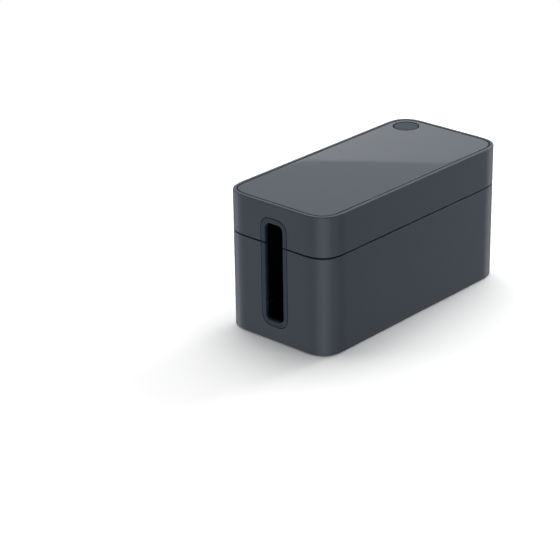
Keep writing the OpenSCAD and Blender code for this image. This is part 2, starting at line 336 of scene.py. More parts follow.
class Outline:
    """Flat outline given by its corners, open or closed."""

    def __init__(self, *corners: Sequence[float], closed: bool = False) -> None:
        """Takes the corners, each as its x and y, and its radius and whether it is exposed."""
        self.corners = [Corner(*corner) for corner in corners]
        self.closed = closed

    def led_to(self, x: float) -> Self:
        """Leads both ends of an open outline level to one x.

        Args:
            x: Where its ends go.

        Returns:
            The longer outline, or the same one where it is closed.
        """
        if self.closed:
            return self
        return Outline((x, self.corners[0].y), *self.corners, (x, self.corners[-1].y))

    def points(self) -> list[tuple[float, float, float]]:
        """Works out the outline's points, with an arc at each rounded corner.

        Returns:
            One (x, y, exposed) for each point, where exposed is 1 on rubbed arcs.
        """
        points = []
        for index, corner in enumerate(self.corners):
            if corner.radius == 0:
                points.append((corner.x, corner.y, 0.0))
                continue
            following = self.corners[(index + 1) % len(self.corners)]
            points.extend(self._rounded(self.corners[index - 1], corner, following))
        return points

    @staticmethod
    def _rounded(before: Corner, corner: Corner, after: Corner) -> list[tuple[float, float, float]]:
        """Rounds one corner.

        Args:
            before: The corner that comes before it.
            corner: The corner to round.
            after: The corner that comes after it.

        Returns:
            The arc's points, from the side of before to the side of after.
        """
        here = Vector(corner[:2])
        back = (Vector(before[:2]) - here).normalized()
        ahead = (Vector(after[:2]) - here).normalized()
        half = back.angle(ahead) / 2
        middle = here + (back + ahead).normalized() * (corner.radius / math.sin(half))
        reach = corner.radius / math.tan(half)
        first = here + back * reach - middle
        last = here + ahead * reach - middle
        start = math.atan2(first.y, first.x)
        turn = (math.atan2(last.y, last.x) - start + math.pi) % math.tau - math.pi
        steps = max(2, math.ceil(abs(turn) / ARC_STEP))
        return [
            (x, y, float(corner.exposed and 0 < step < steps))
            for step, (x, y) in enumerate(arc(middle, corner.radius, start, turn, steps))
        ]

    def drawn(self, name: str) -> Shape:
        """Draws the outline as a line of edges.

        Args:
            name: Name of the object.

        Returns:
            The object, with the rubbed roundings in its edge attribute.
        """
        points = self.points()
        line = traced(name, [(x, y, 0.0) for x, y, _ in points], self.closed)
        rubbed = line.data.attributes.new(EDGE, "FLOAT", "POINT")
        rubbed.data.foreach_set("value", [exposed for _, _, exposed in points])
        return line


@dataclass(frozen=True)
class Course:
    """Closed course round a rounded rectangle, which outlines are carried along.

    The corners reach as far out as round ones of the same radius. Their bend builds
    up over a length of ease_share times the radius at their middle. Each corner takes
    steps points, and each step is summed in fine parts.
    """

    length: float
    width: float
    radius: float
    ease_share: float = 0.01
    steps: int = 24
    fine: int = 16

    def bend(self) -> list[Vector]:
        """Works out one corner, from a flat along X to one along Y.

        Returns:
            Its points, with the flats' own crossing as the origin.
        """
        ease = self.ease_share
        whole = math.pi / 2 + ease
        stride = whole / (self.steps * self.fine)
        place = Vector((0.0, 0.0))
        points = [place.copy()]
        for index in range(self.steps * self.fine):
            run = (index + 0.5) * stride
            rising = min(run, ease)
            falling = max(0.0, run - (whole - ease))
            heading = rising**2 / (2 * ease) + max(0.0, min(run, whole - ease) - ease)
            heading += falling - falling**2 / (2 * ease)
            place += Vector((math.cos(heading), math.sin(heading))) * stride
            if (index + 1) % self.fine == 0:
                points.append(place.copy())
        crossing = Vector((points[-1].x, 0.0))
        reach = (points[self.steps // 2] - crossing).length
        scale = self.radius * (math.sqrt(2) - 1) / reach
        return [(point - crossing) * scale for point in points]

    def points(self) -> list[tuple[float, float, float]]:
        """Works out the whole course, corner by corner.

        Returns:
            Its points, level at z = 0.
        """
        bend = self.bend()
        half = Vector((self.length / 2, self.width / 2))
        course = []
        for cos, sin in ((1, 0), (0, 1), (-1, 0), (0, -1)):
            across = half if cos else Vector((half.y, half.x))
            here = [Vector((across.x + point.x, -across.y + point.y)) for point in bend]
            course += [(point.x * cos - point.y * sin, point.x * sin + point.y * cos, 0.0) for point in here]
        return course


class Nodes:
    """Node tree that takes one call for each node."""

    def __init__(self, tree: bpy.types.NodeTree) -> None:
        """Takes over a tree."""
        self.tree = tree

    def feed(self, socket: Socket, source: object) -> None:
        """Links an input to what feeds it, or sets its value.

        Args:
            socket: The input.
            source: Output of another node, or a plain value.
        """
        if isinstance(source, Socket):
            self.tree.links.new(source, socket)
        else:
            socket.default_value = source

    def add(
        self, kind: str, inputs: dict[str | int, object] | None = None, **settings: str
    ) -> bpy.types.NodeOutputs:
        """Adds a node.

        Args:
            kind: Type of the node.
            inputs: What feeds each of its inputs, by the input's name or number.
            **settings: The node's own settings.

        Returns:
            The node's outputs.
        """
        node = self.tree.nodes.new(kind)
        for key, value in settings.items():
            setattr(node, key, value)
        for label, source in (inputs or {}).items():
            self.feed(node.inputs[label], source)
        return node.outputs

    def mapped(self, source: Socket, span: Span, low: object, high: object, **settings: str) -> Socket:
        """Spreads a value over a range, from low at the span's first end to high at its second."""
        inputs = {"Value": source, "From Min": span[0], "From Max": span[1], "To Min": low, "To Max": high}
        return self.add("ShaderNodeMapRange", inputs, **settings)["Result"]

    def worked(self, operation: str, first: object, second: object) -> Socket:
        """Works out a value from two others."""
        return self.add("ShaderNodeMath", {0: first, 1: second}, operation=operation)["Value"]

    def blended(self, share: Socket, first: Socket, second: Socket) -> Socket:
        """Blends two shaders by the share of the second."""
        return self.add("ShaderNodeMixShader", {"Fac": share, 1: first, 2: second})["Shader"]


class GeometryTree(Nodes):
    """Geometry Nodes tree with named inputs, which ends in one material."""

    def __init__(self, name: str, inputs: dict[str, str]) -> None:
        """Makes the empty tree.

        Args:
            name: Name of the tree.
            inputs: Kind of each input beside the geometry and the material, by its name.
        """
        super().__init__(bpy.data.node_groups.new(name, "GeometryNodeTree"))
        self.blank = bpy.data.materials.new(name)
        face = self.tree.interface
        face.new_socket("Geometry", in_out="OUTPUT", socket_type="NodeSocketGeometry")
        for label, kind in {"Geometry": "Geometry", **inputs, "Material": "Material"}.items():
            face.new_socket(label, in_out="INPUT", socket_type=f"NodeSocket{kind}")
        self.inputs = self.add("NodeGroupInput")

    def brought_in(self, label: str) -> Socket:
        """Brings in the geometry of the object that an input names."""
        inputs = {"Object": self.inputs[label]}
        return self.add("GeometryNodeObjectInfo", inputs, transform_space="ORIGINAL")["Geometry"]

    def carry(self, path: Socket) -> None:
        """Carries the outline along a level path, its x inwards and its y up, and ends the tree.

        Args:
            path: Closed path.
        """
        upright = self.add("GeometryNodeSetCurveNormal", {"Curve": path}, mode="Z_UP")["Curve"]
        facing = self.add(
            "GeometryNodeTransform", {"Geometry": self.inputs["Geometry"], "Scale": (-1.0, -1.0, 1.0)}
        )
        section = self.add("GeometryNodeMeshToCurve", {"Mesh": facing["Geometry"]})["Curve"]
        skin = self.add("GeometryNodeCurveToMesh", {"Curve": upright, "Profile Curve": section})["Mesh"]
        joined = self.add("GeometryNodeMergeByDistance", {"Geometry": skin, "Distance": MERGE_DISTANCE})
        self.close(joined["Geometry"])

    def close(self, geometry: Socket) -> None:
        """Ends the tree: instances made real, material set, geometry out.

        Args:
            geometry: Socket that carries what the tree has made.
        """
        real = self.add("GeometryNodeRealizeInstances", {"Geometry": geometry})["Geometry"]
        dressed = self.add("GeometryNodeSetMaterial", {"Geometry": real, "Material": self.inputs["Material"]})
        self.add("NodeGroupOutput", {"Geometry": dressed["Geometry"]})

    def run(self, shape: Shape, **values: object) -> Shape:
        """Runs the tree on an object.

        Args:
            shape: Object that the tree starts from.
            **values: Value of each input, by its name.

        Returns:
            The same object, with the plain mesh that the tree made.
        """
        values["Material"] = self.blank
        modifier = shape.modifiers.new(self.tree.name, "NODES")
        modifier.node_group = self.tree
        for item in self.tree.interface.items_tree:
            if item.in_out == "INPUT" and item.name in values:
                modifier[item.identifier] = values[item.name]
        return made_plain(shape)


class Graph(Nodes):
    """Node graph of a material, whose last node is one Principled shader."""

    def __init__(self, name: str) -> None:
        """Makes the material and finds the place of each of its points.

        Args:
            name: Name of the material.
        """
        self.material = bpy.data.materials.new(name)
        self.material.use_nodes = True
        super().__init__(self.material.node_tree)
        self.place = self.add("ShaderNodeTexCoord")["Object"]

    def set(self, **values: object) -> None:
        """Feeds the shader's sockets, each by its name with underscores for spaces."""
        for label, value in values.items():
            self.feed(self.tree.nodes["Principled BSDF"].inputs[label.replace("_", " ")], value)

    def noise(self, grain: float, low: float, high: float, detail: float = 2.0) -> Socket:
        """Adds a noise pattern and spreads its middle part from low to high."""
        return self.mapped(self.pattern(grain, detail), NOISE_MIDDLE, low, high)

    def pattern(self, grain: float, detail: float) -> Socket:
        """Adds a noise pattern from 0 to 1, fixed to the piece, its grain in metres."""
        inputs = {"Vector": self.place, "Scale": 1 / grain, "Detail": detail}
        return self.add("ShaderNodeTexNoise", inputs)["Fac"]

    def mixed_colour(self, share: Socket, first: object, second: object) -> Socket:
        """Mixes two colours by the share of the second."""
        return self.add("ShaderNodeMix", {"Factor": share, 6: first, 7: second}, data_type="RGBA")[2]

    def rubbed(self, strength: float) -> Socket:
        """Reads where hands rub the edges, a little broken up, as a share from 0 to strength."""
        edge = self.add("ShaderNodeAttribute", attribute_name=EDGE)["Fac"]
        return self.worked("MULTIPLY", edge, self.noise(RUB_GRAIN, RUB_LEAST_SHARE * strength, strength))

    def relief(self, grain: float, depth: float) -> Socket:
        """Makes a relief out of plain noise of that grain and depth, in metres."""
        inputs = {"Height": self.pattern(grain, detail=1.0), "Distance": depth}
        return self.add("ShaderNodeBump", inputs)["Normal"]


@dataclass(frozen=True)
class Finish:
    """Look of a moulded surface.

    It has clouds in its colour, an uneven gloss, a relief, and lighter edges where
    hands rub it. Grains and clouds are in metres.
    """

    name: str
    colour: Colour
    roughness: float
    specular: float
    cloud: float
    flow: float
    gloss_grain: float
    gloss_spread: Span
    grain: float
    grain_depth: float
    rub_lightness: float
    rub_gloss: float = 0.0
    rub: float = 0.5
    cloud_detail: float = 3.0
    gloss_detail: float = 2.0
    ior: float = 1.5
    sheen: float = 0.0
    sheen_roughness: float = 0.5

    def shade(self, factor: float) -> tuple[float, ...]:
        """Makes the colour lighter or darker by a factor."""
        return (*(part * factor for part in self.colour), 1.0)

    def material(self) -> bpy.types.Material:
        """Makes the material.

        Returns:
            The new material, named after its slot.
        """
        graph = Graph(self.name)
        rubbed = graph.rubbed(self.rub)
        clouds = graph.noise(self.cloud, 0.0, 1.0, self.cloud_detail)
        base = graph.mixed_colour(clouds, self.shade(1 - self.flow / 2), self.shade(1 + self.flow / 2))
        low, high = (self.roughness + part for part in self.gloss_spread)
        gloss = graph.noise(self.gloss_grain, low, high, self.gloss_detail)
        graph.set(
            Base_Color=graph.mixed_colour(rubbed, base, self.shade(self.rub_lightness)),
            Roughness=graph.worked("ADD", gloss, graph.worked("MULTIPLY", rubbed, self.rub_gloss)),
            Normal=graph.relief(self.grain, self.grain_depth),
            Specular_IOR_Level=self.specular,
            IOR=self.ior,
            Sheen_Weight=self.sheen,
            Sheen_Roughness=self.sheen_roughness,
        )
        return graph.material


@dataclass(frozen=True)
class SoftRubber(Finish):
    """Soft-touch rubber, matt and slightly dusty on its edges."""

    roughness: float = 0.62
    specular: float = 0.35
    cloud: float = 0.012
    flow: float = 0.08
    gloss_grain: float = 0.0012
    gloss_spread: Span = (-0.04, 0.04)
    grain: float = 0.0003
    grain_depth: float = 0.00001
    rub_lightness: float = 1.3
    sheen: float = 0.08


@dataclass(frozen=True)
class TexturedPlastic(Finish):
    """Moulded plastic with the fine grain of a spark-eroded mould."""

    roughness: float = 0.37
    specular: float = 0.4
    cloud: float = 0.03
    flow: float = 0.06
    gloss_grain: float = 0.00135
    gloss_spread: Span = (-0.03, 0.03)
    grain: float = 0.00045
    grain_depth: float = 0.000014
    rub_lightness: float = 1.35
    rub_gloss: float = -0.16


@dataclass(frozen=True)
class PolishedPlastic(Finish):
    """Moulded plastic with a polished face that is just a little uneven."""

    roughness: float = 0.012
    specular: float = 0.5
    cloud: float = 0.035
    flow: float = 0.04
    gloss_grain: float = 0.021
    gloss_detail: float = 4.0
    gloss_spread: Span = (0.0, 0.006)
    grain: float = 0.02
    grain_depth: float = 0.000002
    rub: float = 0.4
    rub_lightness: float = 1.4
    rub_gloss: float = 0.08


FINISHES = (
    TexturedPlastic("shell_plastic", (0.021, 0.035, 0.057)),
    PolishedPlastic("plate_plastic", (0.022, 0.039, 0.062)),
    SoftRubber("trim_rubber", (0.014, 0.028, 0.048)),
    SoftRubber("plug_rubber", (0.024, 0.038, 0.060), roughness=0.7, specular=0.28),
    SoftRubber("foot_rubber", (0.012, 0.012, 0.013), roughness=0.75),
)


class Workshop:
    """Where this object's pieces are made, dressed and listed."""

    def __init__(self) -> None:
        """Builds the three trees that the pieces share, and the materials."""
        sweeping = GeometryTree("sweep along a course", {"Course": "Object"})
        path = sweeping.add("GeometryNodeMeshToCurve", {"Mesh": sweeping.brought_in("Course")})
        sweeping.carry(path["Curve"])
        turning = GeometryTree("turning about an axis", {"Radius": "Float", "Steps": "Int"})
        sizes = {"Resolution": turning.inputs["Steps"], "Radius": turning.inputs["Radius"]}
        turning.carry(turning.add("GeometryNodeCurvePrimitiveCircle", sizes, mode="RADIUS")["Curve"])
        placing = GeometryTree("one shape at every point", {"Shape": "Object"})
        copies = {"Points": placing.inputs["Geometry"], "Instance": placing.brought_in("Shape")}
        placing.close(placing.add("GeometryNodeInstanceOnPoints", copies)["Instances"])
        self.sweeping, self.turning, self.placing = sweeping, turning, placing
        self.materials = {finish.name: finish.material() for finish in FINISHES}
        self.pieces: list[Shape] = []

    def swept(self, name: str, outline: Outline, course: Course) -> Shape:
        """Carries an outline along a course and closes what stays open with flat faces.

        Args:
            name: Name of the object.
            outline: Outline with x inwards from the course and y up.
            course: Course to follow.

        Returns:
            The closed solid, about the upright axis.
        """
        guide = traced("course", course.points(), True)
        solid = self.sweeping.run(outline.led_to(FLAT_INSET).drawn(name), Course=guide)
        bpy.data.objects.remove(guide)
        with reworked(solid) as work:
            bmesh.ops.holes_fill(work, edges=[edge for edge in work.edges if edge.is_boundary], sides=0)
            bmesh.ops.recalc_face_normals(work, faces=work.faces)
        return solid

    def turned(self, name: str, outline: Outline, middle: Vector = ORIGIN, steps: int = 96) -> Shape:
        """Turns an outline about an upright axis.

        Args:
            name: Name of the object.
            outline: Outline with x as the distance from the axis, led to it where it is open.
            middle: Where the axis meets z = 0 of the outline.
            steps: Steps round the axis.

        Returns:
            The closed solid.
        """
        whole = outline.led_to(0.0)
        rim = max(corner.x for corner in whole.corners)
        inwards = [corner._replace(x=rim - corner.x) for corner in whole.corners]
        section = Outline(*inwards, closed=whole.closed).drawn(name)
        return moved(cleaned(self.turning.run(section, Radius=rim, Steps=steps)), Matrix.Translation(middle))

    def placed(self, name: str, shape: Shape, places: Iterable[Vector]) -> Shape:
        """Puts copies of a shape at some places, and uses the shape up.

        Args:
            name: Name of the object.
            shape: Shape to copy, drawn about the origin.
            places: Where the copies go.

        Returns:
            One object with all the copies.
        """
        copies = self.placing.run(laid(name, places), Shape=shape)
        bpy.data.objects.remove(shape)
        return cleaned(copies)

    @staticmethod
    def block(name: str, low: Vector, high: Vector, rounding: float = 0.0) -> Shape:
        """Makes a block.

        Args:
            name: Name of the object.
            low: Its lowest corner.
            high: Its highest corner.
            rounding: Radius of its edges.

        Returns:
            The block.
        """
        block = laid(name)
        matrix = Matrix.Translation((low + high) / 2) @ Matrix.Diagonal((*(high - low), 1.0))
        with reworked(block) as work:
            bmesh.ops.create_cube(work, size=1.0, matrix=matrix)
            if rounding:
                rounded = {"segments": BLOCK_STEPS, "profile": ROUND_PROFILE, "affect": "EDGES"}
                bmesh.ops.bevel(work, geom=list(work.edges), offset=rounding, **rounded)
        return block

    def ribs(self, name: str, size: Vector, foot: float, rounding: float, places: Iterable[Vector]) -> Shape:
        """Makes one object of ribs at some places, each from the foot's height there on up."""
        low = Vector((-size.x / 2, -size.y / 2, foot))
        return self.placed(name, self.block("rib", low, low + size, rounding), places)

    def finish(self, piece: Shape, node: str, body: str, slot: str) -> None:
        """Dresses a finished piece and puts it in its node's place.

        Args:
            piece: The finished piece.
            node: CAD node that it stands for.
            body: Body that it rides on.
            slot: Material slot that its finish comes from.
        """
        piece.data.materials.clear()
        piece.data.materials.append(self.materials[slot])
        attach(piece, body)
        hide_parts(node)
        self.pieces.append(piece)
        faces = len(piece.data.polygons)
        LOG.info("%s rides on %s and stands for %s: %d faces", piece.name, body, node, faces)


@dataclass(frozen=True)
class Casing:
    """Sizes that several pieces share."""

    corner_radius: float = 0.0205
    corner_ease_share: float = 1.3
    corner_steps: int = 32
    wall: float = 0.0025
    floor_thickness: float = 0.0025
    web_thickness: float = 0.002
    plate_thickness: float = 0.002
    seam_edge_radius: float = 0.0004
    slot_edge_radius: float = 0.0003
    soft: float = 0.0003
    lead_in: float = 0.0005
    peg_length_shares: tuple[float, ...] = (-0.62, -0.2, 0.2, 0.62)
    peg_width_share: float = 0.72
    end_peg_share: float = 0.9

    @property
    def low(self) -> Vector:
        """Lowest corner of the tub."""
        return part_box("tub_shell")[0]

    @property
    def high(self) -> Vector:
        """Highest corner of the lid."""
        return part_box("lid_shell")[1]

    @property
    def length(self) -> float:
        """Length over the slotted ends."""
        return self.high.x - self.low.x

    @property
    def width(self) -> float:
        """Width over the long sides."""
        return self.high.y - self.low.y

    @property
    def course(self) -> Course:
        """Course round the box's outer face."""
        size = (self.length, self.width, self.corner_radius)
        return Course(*size, self.corner_ease_share, self.corner_steps)

    @property
    def seam(self) -> Span:
        """Heights of the tub's top and the lid's bottom."""
        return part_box("slot_trim_lower_left")[1].z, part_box("lid_shell")[0].z

    @property
    def tongue_top(self) -> float:
        """Height of the top of the tub's tongue."""
        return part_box("tub_shell")[1].z

    @property
    def floor_top(self) -> float:
        """Height of the floor inside."""
        return self.low.z + self.floor_thickness

    @property
    def web_top(self) -> float:
        """Height of the web's upper face, on which the plate and the plug's disc lie."""
        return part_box("top_plate")[1].z - self.plate_thickness

    @property
    def web_bottom(self) -> float:
        """Height of the web's lower face."""
        return self.web_top - self.web_thickness

    def peg_places(self) -> list[Vector]:
        """Works out where the top plate's pegs stand.

        Returns:
            The places, at z = 0.
        """
        along = self.length / 2
        across = self.peg_width_share * self.width / 2
        places = [
            Vector((share * along, side * across, 0.0)) for share in self.peg_length_shares for side in SIDES
        ]
        return places + [Vector((side * self.end_peg_share * along, 0.0, 0.0)) for side in SIDES]


@dataclass(frozen=True)
class SlotOutline:
    """Outline of a slot trim's band, which is also the cut in the end wall."""

    lap: float = 0.003
    band: float = 0.005
    corner_radius: float = 0.0105

    @property
    def low(self) -> Vector:
        """Lowest corner of the left trim, with its flange."""
        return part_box("slot_trim_lower_left")[0]

    @property
    def high(self) -> Vector:
        """Highest corner of the left trim, with its flange."""
        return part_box("slot_trim_upper_left")[1]

    @property
    def course(self) -> Course:
        """Course round the cut, drawn flat with its height along X."""
        height, width = self.high.z - self.low.z, self.high.y - self.low.y
        return Course(height - 2 * self.lap, width - 2 * self.lap, self.corner_radius)

    def stood_up(self, end: End) -> Matrix:
        """Works out how a ring drawn flat is stood up against an end wall.

        Args:
            end: Which end.

        Returns:
            The matrix, which takes the ring's X up, and its Z into the box.
        """
        upright = Matrix(((0, 0, 1, 0), (0, -1, 0, 0), (1, 0, 0, 0), (0, 0, 0, 1)))
        middle = Vector((self.low.x, 0.0, (self.low.z + self.high.z) / 2))
        return end.turn @ Matrix.Translation(middle) @ upright

    def cutters(self, shop: Workshop, casing: Casing) -> Shape:
        """Makes the solids that cut both end walls and round the cut's outer edge.

        Args:
            shop: Where they are made.
            casing: Sizes of the walls.

        Returns:
            One object with both cutters.
        """
        flare = casing.slot_edge_radius
        rounding = arc((-flare, flare), flare, -math.pi / 2, math.pi / 2, EDGE_STEPS)
        outline = Outline((-flare, -OVERRUN), *rounding, (0.0, casing.wall + OVERRUN))
        cutter = shop.swept("slot_cutter", outline, self.course)
        return at_both_ends(moved(cutter, self.stood_up(End.LEFT)))


@dataclass
class SubAssembly:
    """What every sub-assembly holds: where it is made, and the sizes that all of them share."""

    shop: Workshop
    casing: Casing


@dataclass
class Tub(SubAssembly):
    """The tub: one moulding with walls, floor, tongue, rails, ribs and tie anchors."""

    slot: SlotOutline
    bottom_edge_radius: float = 0.0006
    floor_fillet: float = 0.002
    tongue_thickness: float = 0.0015
    tongue_clearance: float = 0.00035
    tongue_root: float = 0.005
    pocket_width: float = 0.037
    rail_spacing: float = 0.058
    rail_size: tuple[float, float, float] = (0.15252, 0.002, 0.006)
    rail_rounding: float = 0.0004
    floor_rib_height: float = 0.0015
    floor_rib_thickness: float = 0.0016
    floor_rib_count: int = 7
    anchor_size: tuple[float, float, float] = (0.007, 0.016, 0.0055)
    anchor_rounding: float = 0.0006
    tunnel_size: Span = (0.008, 0.0026)
    anchor_setback: float = 0.026
    seat_clearance: float = 0.0002
    seat_depth: float = 0.001
    stem_hole_radius: float = 0.0021
    mark_radius: float = 0.0032
    mark_depth: float = 0.00015
    mark_length_shares: tuple[float, ...] = (-0.195, 0.0, 0.195)
    mark_width_share: float = 0.375
    end_mark_shares: Span = (0.4212, 0.15)
    gate_dish_depth: float = 0.0004
    gate_dish_radii: Span = (0.0045, 0.005)
    gate_nub_radii: Span = (0.0011, 0.00143)

    @property
    def tongue_faces(self) -> Span:
        """Distances of the tongue's outer and inner face in from the outer face."""
        outside = self.casing.wall + self.tongue_clearance
        return outside, outside + self.tongue_thickness

    @property
    def band_foot(self) -> Span:
        """Heights at which the band inside the wall, under the tongue, starts and is full."""
        full = self.casing.seam[0] - self.tongue_root
        return full - (self.tongue_faces[1] - self.casing.wall), full

    def wall_outline(self) -> Outline:
        """Draws the wall from the underside, up, over the tongue and down to the floor.

        Returns:
            The outline, from the outer face inwards.
        """
        casing = self.casing
        outside, inside = self.tongue_faces
        foot, full = self.band_foot
        return Outline(
            (0.0, casing.low.z, self.bottom_edge_radius, True),
            (0.0, casing.seam[0], casing.seam_edge_radius, True),
            (outside, casing.seam[0], casing.soft),
            (outside, casing.tongue_top - casing.lead_in, casing.soft),
            (outside + casing.lead_in, casing.tongue_top, casing.soft / 2),
            (inside, casing.tongue_top, casing.soft, True),
            (inside, full, casing.soft * 2),
            (casing.wall, foot, casing.soft * 2),
            (casing.wall, casing.floor_top, self.floor_fillet),
        )

    def floor_fittings(self) -> list[Shape]:
        """Makes the rails that hold a socket strip, the low ribs under it and the tie anchors.

        Returns:
            The rails, the ribs and the bridges that a cable tie goes under, each as one object.
        """
        casing = self.casing
        buried = casing.floor_thickness / 2
        level = casing.floor_top
        length, thickness, height = self.rail_size
        offset = (self.rail_spacing + thickness) / 2
        size = Vector((length, thickness, height + buried))
        places = [Vector((0.0, side * offset, level)) for side in SIDES]
        rails = self.shop.ribs("rails", size, -buried, self.rail_rounding, places)
        size = Vector((self.floor_rib_thickness, 2 * offset, self.floor_rib_height + buried))
        reach = (length - self.floor_rib_thickness) / 2 - HAIR
        steps = self.floor_rib_count - 1
        places = [Vector((reach * (2 * index / steps - 1), 0.0, level)) for index in range(steps + 1)]
        ribs = self.shop.ribs("floor_ribs", size, -buried, casing.soft, places)
        half = Vector(self.anchor_size) / 2
        low = Vector((-half.x, -half.y, -buried))
        high = Vector((half.x, half.y, self.anchor_size[2]))
        bridge = self.shop.block("tie_anchor", low, high, self.anchor_rounding)
        width, clear = self.tunnel_size
        through = 2 * half.x
        tunnel = (Vector((-through, -width / 2, 0.0)), Vector((through, width / 2, clear)))
        combined(bridge, self.shop.block("tie_tunnel", *tunnel), Join.TAKE_AWAY)
        apart = casing.length / 2 - self.anchor_setback
        places = [Vector((side * apart, 0.0, level)) for side in SIDES]
        return [rails, ribs, self.shop.placed("tie_anchors", bridge, places)]

    def flange_pockets(self) -> list[Shape]:
        """Makes the blocks that open the tongue and its band for the trims' flanges.

        Returns:
            The blocks behind the walls and those above them.
        """
        wall, top, tip = self.casing.wall, self.casing.seam[0], self.casing.tongue_top
        end, half = -self.casing.length / 2, self.pocket_width / 2
        behind = (
            Vector((end + wall + HAIR, -half, self.band_foot[0] - HAIR)),
            Vector((end + self.tongue_faces[1] + OVERRUN, half, tip + OVERRUN)),
        )
        above = (
            Vector((end - OVERRUN, -half, top + HAIR)),
            Vector((end + wall + OVERRUN, half, tip + 2 * OVERRUN)),
        )
        return [at_both_ends(self.shop.block("flange_pocket", *corners)) for corners in (behind, above)]

    def foot_seats(self) -> Shape:
        """Makes the turned solids that cut the seats and stem holes of the feet.

        Returns:
            One object with all four.
        """
        radius = radius_of(Place.FRONT_LEFT.node) + self.seat_clearance
        ceiling = self.casing.low.z + self.seat_depth
        outline = Outline(
            (radius, -OVERRUN),
            (radius, ceiling, self.casing.soft),
            (self.stem_hole_radius, ceiling),
            (self.stem_hole_radius, self.casing.floor_top + OVERRUN),
        )
        seat = self.shop.turned("foot_seat", outline, steps=64)
        return self.shop.placed("foot_seats", seat, [centre_of(place.node) for place in Place])

    def mould_marks(self) -> Shape:
        """Makes the shallow discs that the ejector pins leave on the floor inside.

        Returns:
            One object with all the discs.
        """
        outer = self.mark_radius + self.mark_depth
        outline = Outline((self.mark_radius, -self.mark_depth), (outer, 0.0), (outer, OVERRUN))
        pin = self.shop.turned("ejector_pin", outline, steps=40)
        aside = self.mark_width_share
        shares = [(share, side * aside) for share in self.mark_length_shares for side in SIDES]
        far, aside = self.end_mark_shares
        shares += [(end * far, side * aside) for end in SIDES for side in SIDES]
        length, width, level = self.casing.length, self.casing.width, self.casing.floor_top
        places = [Vector((along * length, across * width, level)) for along, across in shares]
        return self.shop.placed("ejector_marks", pin, places)

    def gate_mark(self) -> Shape:
        """Makes the ring that leaves the gate's nub in a shallow dish under the floor.

        Returns:
            The turned solid to cut with.
        """
        level = self.casing.low.z
        dish, tip = self.gate_dish_depth, self.gate_dish_depth / 4
        floor, rim = self.gate_dish_radii
        nub, foot = self.gate_nub_radii
        outline = Outline(
            (nub, level + tip, tip),
            (foot, level + dish),
            (floor, level + dish),
            (rim, level),
            (rim, level - OVERRUN),
        )
        return self.shop.turned("gate_dish", outline, steps=64)

    def build(self) -> None:
        """Makes the tub and puts it in its place."""
        tub = self.shop.swept("tub_casing", self.wall_outline(), self.casing.course)
        for addition in self.floor_fittings():
            combined(tub, addition, Join.ADD)
        cuts = [self.slot.cutters(self.shop, self.casing), *self.flange_pockets()]
        cuts += [self.foot_seats(), self.mould_marks(), self.gate_mark()]
        for cut in cuts:
            combined(tub, cut, Join.TAKE_AWAY)
        self.shop.finish(shaded(tub), "tub_shell", "tub", "shell_plastic")


